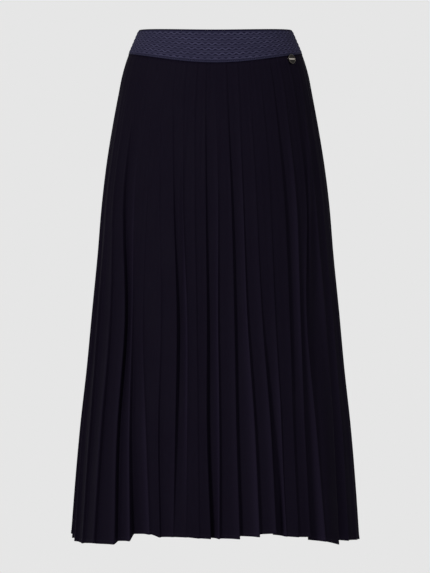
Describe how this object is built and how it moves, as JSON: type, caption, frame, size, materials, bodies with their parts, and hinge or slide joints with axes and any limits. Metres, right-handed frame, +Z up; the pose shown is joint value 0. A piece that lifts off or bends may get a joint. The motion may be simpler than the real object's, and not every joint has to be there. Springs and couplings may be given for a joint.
{
  "type": "midi skirt",
  "caption": "Pleated midi skirt with a wide elastic waistband, in its worn form, open at the waist and hem, held up at the waist.",
  "frame": {"origin": "middle of the waistband, on the vertical line through the middle of the waist, where the wearer's waist holds the skirt", "axes": "+Z up along the body, -Y to the skirt's front, +X to the right of somebody who looks at the front"},
  "size_m": [0.4447, 0.3574, 0.7931],
  "materials": {
    "elastic_knit": "matte ribbed knit",
    "pleated_crepe": "matte crepe, pressed pleats",
    "plate_metal": "polished dark metal"
  },
  "bodies": {
    "root": {"waistband": "elastic_knit", "front_panel": "pleated_crepe", "back_panel": "pleated_crepe", "metal_plate": "plate_metal"}
  },
  "joints": []
}
